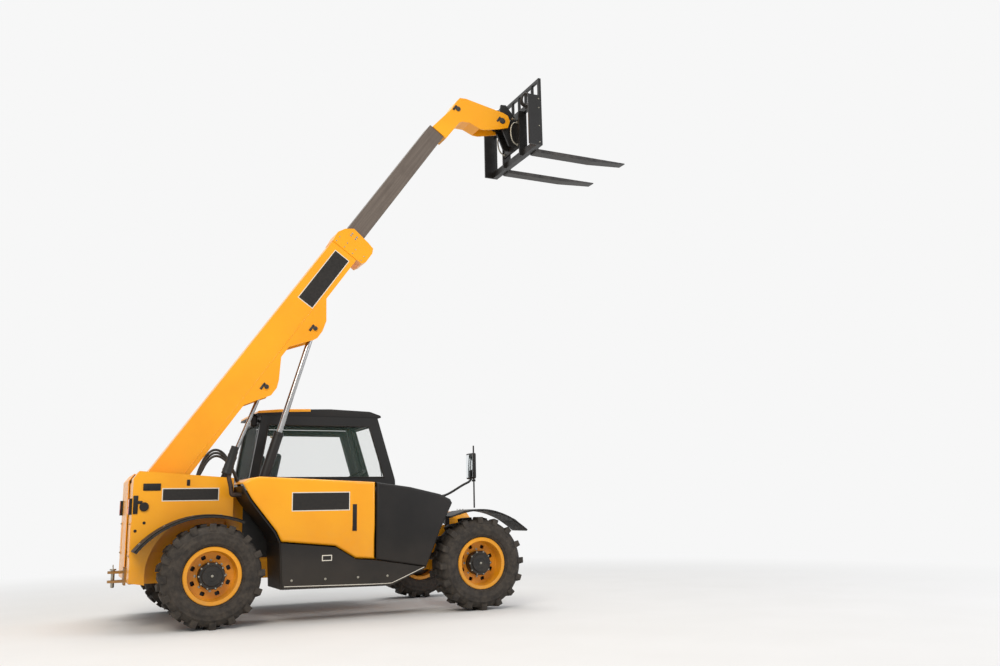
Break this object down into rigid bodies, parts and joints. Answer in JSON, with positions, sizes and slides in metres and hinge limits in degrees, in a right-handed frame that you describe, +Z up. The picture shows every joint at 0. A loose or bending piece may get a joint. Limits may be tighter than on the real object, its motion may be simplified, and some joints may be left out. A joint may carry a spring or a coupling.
{
  "type": "telescopic handler",
  "caption": "Compact telescopic handler with a raised, extended side-mounted boom, level pallet forks, an offset cab and a side engine pod on four equal steered wheels.",
  "frame": {"origin": "on the ground, at the middle of the overall outline seen from above", "axes": "+X to the machine's front, +Y to its left, +Z up"},
  "size_m": [5.0246, 1.841, 5.335],
  "materials": {
    "body_paint": "satin",
    "dark_paint": "satin",
    "black_plastic": "grained",
    "boom_steel": "worn",
    "casting": "rough",
    "rod_chrome": "polished",
    "window_glass": "clear",
    "tyre_rubber": "dusty",
    "fender_rubber": "matt",
    "seat_cloth": "woven"
  },
  "bodies": {
    "chassis": {"axle_front": "body_paint", "axle_rear": "body_paint", "boom_tower": "body_paint", "cab_frame": "dark_paint", "cab_glass": "window_glass", "cab_roof": "body_paint", "counterweight": "casting", "dashboard": "black_plastic", "drive_shaft": "dark_paint", "engine_bay_wall": "dark_paint", "engine_block": "casting", "exhaust_stack": "dark_paint", "front_fenders": "black_plastic", "lamps": "black_plastic", "main_frame": "body_paint", "mirrors": "black_plastic", "pod_front_cover": "black_plastic", "pod_rear_liner": "black_plastic", "pod_sill": "black_plastic", "rear_fenders": "fender_rubber", "rear_panel_left": "body_paint", "rear_panel_right": "body_paint", "seat": "seat_cloth", "seat_base": "dark_paint", "side_tank": "dark_paint", "steering_wheel": "black_plastic", "tow_hitch": "dark_paint"},
    "boom_outer": {"boom_outer": "body_paint", "boom_collar": "body_paint"},
    "boom_inner": {"boom_inner": "boom_steel", "boom_head": "body_paint"},
    "carriage": {"carriage": "dark_paint", "load_guard": "dark_paint", "forks": "boom_steel"},
    "engine_bonnet": {"engine_bonnet": "body_paint"},
    "cab_door": {"cab_door": "dark_paint", "door_glass": "window_glass"},
    "lift_barrel": {"lift_barrel": "dark_paint"},
    "lift_rod": {"lift_rod": "rod_chrome"},
    "comp_barrel": {"comp_barrel": "dark_paint"},
    "comp_rod": {"comp_rod": "rod_chrome"},
    "tilt_barrel": {"tilt_barrel": "dark_paint"},
    "tilt_rod": {"tilt_rod": "rod_chrome"},
    "knuckle_front_left": {"knuckle_front_left": "dark_paint"},
    "wheel_front_left": {"rim_front_left": "body_paint", "tyre_front_left": "tyre_rubber"},
    "knuckle_front_right": {"knuckle_front_right": "dark_paint"},
    "wheel_front_right": {"rim_front_right": "body_paint", "tyre_front_right": "tyre_rubber"},
    "knuckle_rear_left": {"knuckle_rear_left": "dark_paint"},
    "wheel_rear_left": {"rim_rear_left": "body_paint", "tyre_rear_left": "tyre_rubber"},
    "knuckle_rear_right": {"knuckle_rear_right": "dark_paint"},
    "wheel_rear_right": {"rim_rear_right": "body_paint", "tyre_rear_right": "tyre_rubber"}
  },
  "joints": [
    {"name": "boom_lift", "type": "hinge", "parent": "chassis", "child": "boom_outer", "pos_m": [-2.22932, -0.2, 1.122], "axis": [0, -1, 0], "range_deg": [-57, 10.4]},
    {"name": "boom_extend", "type": "slide", "parent": "boom_outer", "child": "boom_inner", "axis": [0.5793, 0, 0.8151], "range_m": [-1.45, 0.2]},
    {"name": "carriage_tilt", "type": "hinge", "parent": "boom_inner", "child": "carriage", "pos_m": [1.15232, -0.2, 5.00002], "axis": [0, 1, 0], "range_deg": [-72, 60]},
    {"name": "lift_foot", "type": "hinge", "parent": "chassis", "child": "lift_barrel", "pos_m": [-1.50232, -0.25, 0.48], "axis": [0, -1, 0], "range_deg": [-56.63, 10.5]},
    {"name": "lift_stroke", "type": "slide", "parent": "lift_barrel", "child": "lift_rod", "axis": [0.2933, 0, 0.956], "range_m": [-0.9063, 0.1662]},
    {"name": "comp_foot", "type": "hinge", "parent": "chassis", "child": "comp_barrel", "pos_m": [-1.81832, -0.14, 0.665], "axis": [0, -1, 0], "range_deg": [-54.92, 10.18]},
    {"name": "comp_stroke", "type": "slide", "parent": "comp_barrel", "child": "comp_rod", "axis": [0.3619, 0, 0.9322], "range_m": [-0.578, 0.1063]},
    {"name": "tilt_foot", "type": "hinge", "parent": "boom_inner", "child": "tilt_barrel", "pos_m": [0.63479, -0.2, 5.04516], "axis": [0, 1, 0], "range_deg": [-5.96, 5]},
    {"name": "tilt_stroke", "type": "slide", "parent": "tilt_barrel", "child": "tilt_rod", "axis": [0.979, 0, 0.2039], "range_m": [-0.1518, 0.1267]},
    {"name": "steer_front_left", "type": "hinge", "parent": "chassis", "child": "knuckle_front_left", "pos_m": [0.54768, 0.6, 0.409], "axis": [0, 0, 1], "range_deg": [-30, 30]},
    {"name": "spin_front_left", "type": "hinge", "parent": "knuckle_front_left", "child": "wheel_front_left", "pos_m": [0.54768, 0.765, 0.409], "axis": [0, 1, 0], "continuous": true},
    {"name": "steer_front_right", "type": "hinge", "parent": "chassis", "child": "knuckle_front_right", "pos_m": [0.54768, -0.6, 0.409], "axis": [0, 0, 1], "range_deg": [-30, 30]},
    {"name": "spin_front_right", "type": "hinge", "parent": "knuckle_front_right", "child": "wheel_front_right", "pos_m": [0.54768, -0.765, 0.409], "axis": [0, 1, 0], "continuous": true},
    {"name": "steer_rear_left", "type": "hinge", "parent": "chassis", "child": "knuckle_rear_left", "pos_m": [-1.79232, 0.6, 0.409], "axis": [0, 0, 1], "range_deg": [-30, 30]},
    {"name": "spin_rear_left", "type": "hinge", "parent": "knuckle_rear_left", "child": "wheel_rear_left", "pos_m": [-1.79232, 0.765, 0.409], "axis": [0, 1, 0], "continuous": true},
    {"name": "steer_rear_right", "type": "hinge", "parent": "chassis", "child": "knuckle_rear_right", "pos_m": [-1.79232, -0.6, 0.409], "axis": [0, 0, 1], "range_deg": [-30, 30]},
    {"name": "spin_rear_right", "type": "hinge", "parent": "knuckle_rear_right", "child": "wheel_rear_right", "pos_m": [-1.79232, -0.765, 0.409], "axis": [0, 1, 0], "continuous": true},
    {"name": "cab_door_hinge", "type": "hinge", "parent": "chassis", "child": "cab_door", "pos_m": [-1.19832, 0.906, 0.9], "axis": [0, 0, 1], "range_deg": [0, 95]},
    {"name": "bonnet_hinge", "type": "hinge", "parent": "chassis", "child": "engine_bonnet", "pos_m": [-0.95232, -0.3953, 1.118], "axis": [-1, 0, 0], "range_deg": [0, 55]}
  ],
  "couplings": [
    {"joint": "lift_foot", "follows": "boom_lift", "ratio": 0.99},
    {"joint": "lift_stroke", "follows": "boom_lift", "m_per_rad": 0.91},
    {"joint": "comp_foot", "follows": "boom_lift", "ratio": 0.96},
    {"joint": "comp_stroke", "follows": "boom_lift", "m_per_rad": 0.58},
    {"joint": "tilt_foot", "follows": "carriage_tilt", "ratio": 0.08},
    {"joint": "tilt_stroke", "follows": "carriage_tilt", "m_per_rad": 0.12},
    {"joint": "steer_front_right", "follows": "steer_front_left", "ratio": 1},
    {"joint": "steer_rear_right", "follows": "steer_rear_left", "ratio": 1}
  ]
}
